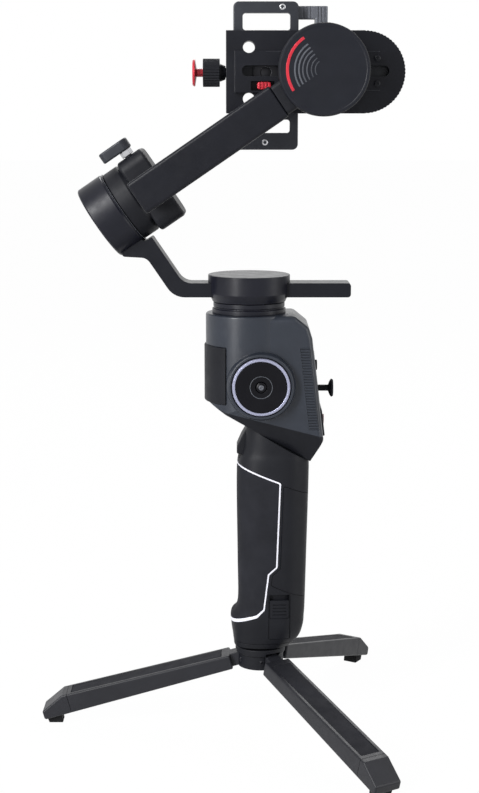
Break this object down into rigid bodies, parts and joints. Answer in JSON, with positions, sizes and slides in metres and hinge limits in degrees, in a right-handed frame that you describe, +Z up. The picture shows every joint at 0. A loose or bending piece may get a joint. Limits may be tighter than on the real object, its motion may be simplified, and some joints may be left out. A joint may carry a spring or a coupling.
{
  "type": "gimbal stabilizer",
  "caption": "Handheld motorised camera gimbal with pan, roll and tilt arms, upright camera plate and a folding mini tripod.",
  "frame": {"origin": "under the middle of the whole object, on the ground plane that the tripod feet stand on", "axes": "+Z up along the handle and the pan axis, +X the way the user side of the handle faces, -Y the side of the follow wheel and the tilt motor"},
  "size_m": [0.207, 0.2326, 0.4207],
  "materials": {
    "plastic": "fine moulded texture",
    "glossy": "smooth satin gloss",
    "rubber": "matt, fine grain",
    "anodised": "black anodised, satin",
    "grey": "dark grey anodised, satin",
    "white": "smooth",
    "wheel_ring": "pale silver, satin",
    "steel": "turned",
    "red": "red anodised, satin",
    "board": "solder mask",
    "winding": "enamelled winding",
    "cell": "shrink sleeve"
  },
  "bodies": {
    "handle": {"tripod_hub": "plastic", "hub_pad": "rubber", "tripod_screw": "steel", "leg_pin_left": "steel", "leg_pin_front": "steel", "leg_pin_back": "steel", "handle_shell_near": "plastic", "handle_shell_far": "plastic", "grip_sleeve": "rubber", "grip_trim": "white", "battery_pack": "cell", "base_plate": "plastic", "thread_insert": "steel", "head_shell_near": "plastic", "head_shell_far": "plastic", "front_cover": "plastic", "vent_grille": "plastic", "control_panel": "glossy", "main_board": "board", "wheel_spindle": "steel", "pan_collar": "glossy", "pan_stator_core": "winding"},
    "leg_left": {"leg_left": "plastic", "foot_left": "rubber"},
    "leg_front": {"leg_front": "plastic", "foot_front": "rubber"},
    "leg_back": {"leg_back": "plastic", "foot_back": "rubber"},
    "battery_door": {"battery_door": "plastic"},
    "battery_latch": {"battery_latch": "plastic"},
    "trigger": {"trigger": "plastic"},
    "joystick": {"joystick": "rubber"},
    "mode_button": {"mode_button": "rubber"},
    "power_button": {"power_button": "red"},
    "follow_wheel": {"follow_wheel": "glossy", "wheel_ring": "wheel_ring"},
    "pan_rotor": {"pan_rotor": "glossy", "pan_shaft": "steel"},
    "pan_lever": {"pan_lever": "grey"},
    "pan_arm": {"pan_arm": "anodised", "roll_housing": "glossy", "roll_stator_core": "winding"},
    "roll_rotor": {"roll_clamp": "plastic", "roll_shaft": "steel"},
    "roll_lever": {"roll_lever": "grey"},
    "roll_arm": {"roll_arm": "anodised", "tilt_housing": "plastic", "tilt_cover": "glossy", "tilt_stator_core": "winding"},
    "tilt_rotor": {"tilt_clamp": "plastic", "tilt_shaft": "steel"},
    "tilt_lever": {"tilt_lever": "grey"},
    "bracket": {"tilt_bracket": "anodised"},
    "clamp_jaw": {"clamp_jaw": "anodised"},
    "jaw_knob": {"jaw_knob": "plastic"},
    "safety_pin": {"safety_pin": "red"},
    "safety_latch": {"safety_latch": "red"},
    "quick_plate": {"quick_plate": "grey"},
    "camera_screw": {"camera_screw": "steel"},
    "camera_stop": {"camera_stop": "grey"}
  },
  "joints": [
    {"name": "leg_left_fold", "type": "hinge", "parent": "handle", "child": "leg_left", "pos_m": [0.01667, 0, 0.041], "axis": [0, -1, 0], "range_deg": [0, 71]},
    {"name": "leg_front_fold", "type": "hinge", "parent": "handle", "child": "leg_front", "pos_m": [0.03333, -0.00943, 0.041], "axis": [0.8572, 0.515, 0], "range_deg": [0, 71]},
    {"name": "leg_back_fold", "type": "hinge", "parent": "handle", "child": "leg_back", "pos_m": [0.03333, 0.00943, 0.041], "axis": [-0.8572, 0.515, 0], "range_deg": [0, 71]},
    {"name": "battery_door_slide", "type": "slide", "parent": "handle", "child": "battery_door", "axis": [0.9135, 0, -0.4067], "range_m": [0, 0.024]},
    {"name": "battery_latch_slide", "type": "slide", "parent": "handle", "child": "battery_latch", "axis": [0, 0, 1], "range_m": [0, 0.002], "stiffness_N_per_m": 150},
    {"name": "trigger_pull", "type": "hinge", "parent": "handle", "child": "trigger", "pos_m": [0.02217, 0, 0.1795], "axis": [0, -1, 0], "range_deg": [0, 10], "stiffness_Nm_per_rad": 0.2},
    {"name": "joystick_tilt", "type": "hinge", "parent": "handle", "child": "joystick", "pos_m": [0.05637, 0, 0.2045], "axis": [0, 1, 0], "range_deg": [-5, 5], "stiffness_Nm_per_rad": 0.1},
    {"name": "mode_press", "type": "slide", "parent": "handle", "child": "mode_button", "axis": [-1, 0, 0], "range_m": [0, 0.0006], "stiffness_N_per_m": 600},
    {"name": "power_press", "type": "slide", "parent": "handle", "child": "power_button", "axis": [-1, 0, 0], "range_m": [0, 0.0006], "stiffness_N_per_m": 600},
    {"name": "follow_wheel_turn", "type": "hinge", "parent": "handle", "child": "follow_wheel", "pos_m": [0.02747, -0.026, 0.2094], "axis": [0, 1, 0], "continuous": true},
    {"name": "pan_axis", "type": "hinge", "parent": "handle", "child": "pan_rotor", "pos_m": [0.02067, 0, 0.2555], "axis": [0, 0, 1], "continuous": true},
    {"name": "pan_lever_turn", "type": "hinge", "parent": "pan_rotor", "child": "pan_lever", "pos_m": [0.02067, 0.025, 0.2625], "axis": [0, 1, 0], "range_deg": [-90, 0]},
    {"name": "pan_arm_slide", "type": "slide", "parent": "pan_rotor", "child": "pan_arm", "axis": [1, 0, 0], "range_m": [-0.02, 0.01]},
    {"name": "roll_axis", "type": "hinge", "parent": "pan_arm", "child": "roll_rotor", "pos_m": [-0.05863, 0, 0.3042], "axis": [0.8268, 0, 0.5625], "range_deg": [-90, 40]},
    {"name": "roll_lever_turn", "type": "hinge", "parent": "roll_rotor", "child": "roll_lever", "pos_m": [-0.04728, -0.01, 0.33853], "axis": [-0.5625, 0, 0.8268], "range_deg": [0, 90]},
    {"name": "roll_arm_slide", "type": "slide", "parent": "roll_rotor", "child": "roll_arm", "axis": [0, 1, 0], "range_m": [-0.008, 0.02]},
    {"name": "tilt_axis", "type": "hinge", "parent": "roll_arm", "child": "tilt_rotor", "pos_m": [0.05897, -0.063, 0.3842], "axis": [0, 1, 0], "range_deg": [-110, 110]},
    {"name": "tilt_lever_turn", "type": "hinge", "parent": "tilt_rotor", "child": "tilt_lever", "pos_m": [0.05897, -0.046, 0.3842], "axis": [0, 1, 0], "range_deg": [0, 90]},
    {"name": "bracket_slide", "type": "slide", "parent": "tilt_rotor", "child": "bracket", "axis": [1, 0, 0], "range_m": [-0.028, 0.003]},
    {"name": "jaw_travel", "type": "slide", "parent": "bracket", "child": "clamp_jaw", "axis": [-1, 0, 0], "range_m": [0, 0.0024]},
    {"name": "jaw_knob_turn", "type": "hinge", "parent": "clamp_jaw", "child": "jaw_knob", "pos_m": [-0.00003, -0.043, 0.3835], "axis": [1, 0, 0], "range_deg": [0, 1080]},
    {"name": "safety_pin_press", "type": "slide", "parent": "jaw_knob", "child": "safety_pin", "axis": [1, 0, 0], "range_m": [0, 0.003], "stiffness_N_per_m": 300},
    {"name": "safety_latch_slide", "type": "slide", "parent": "bracket", "child": "safety_latch", "axis": [-1, 0, 0], "range_m": [0, 0.003]},
    {"name": "plate_slide", "type": "slide", "parent": "bracket", "child": "quick_plate", "axis": [0, 0, 1], "range_m": [-0.015, 0.015]},
    {"name": "camera_screw_turn", "type": "hinge", "parent": "quick_plate", "child": "camera_screw", "pos_m": [0.02927, -0.0397, 0.3835], "axis": [0, 1, 0], "continuous": true},
    {"name": "camera_stop_slide", "type": "slide", "parent": "quick_plate", "child": "camera_stop", "axis": [1, 0, 0], "range_m": [0, 0.006]}
  ],
  "couplings": [
    {"joint": "jaw_knob_turn", "follows": "jaw_travel", "rad_per_m": 7854}
  ]
}
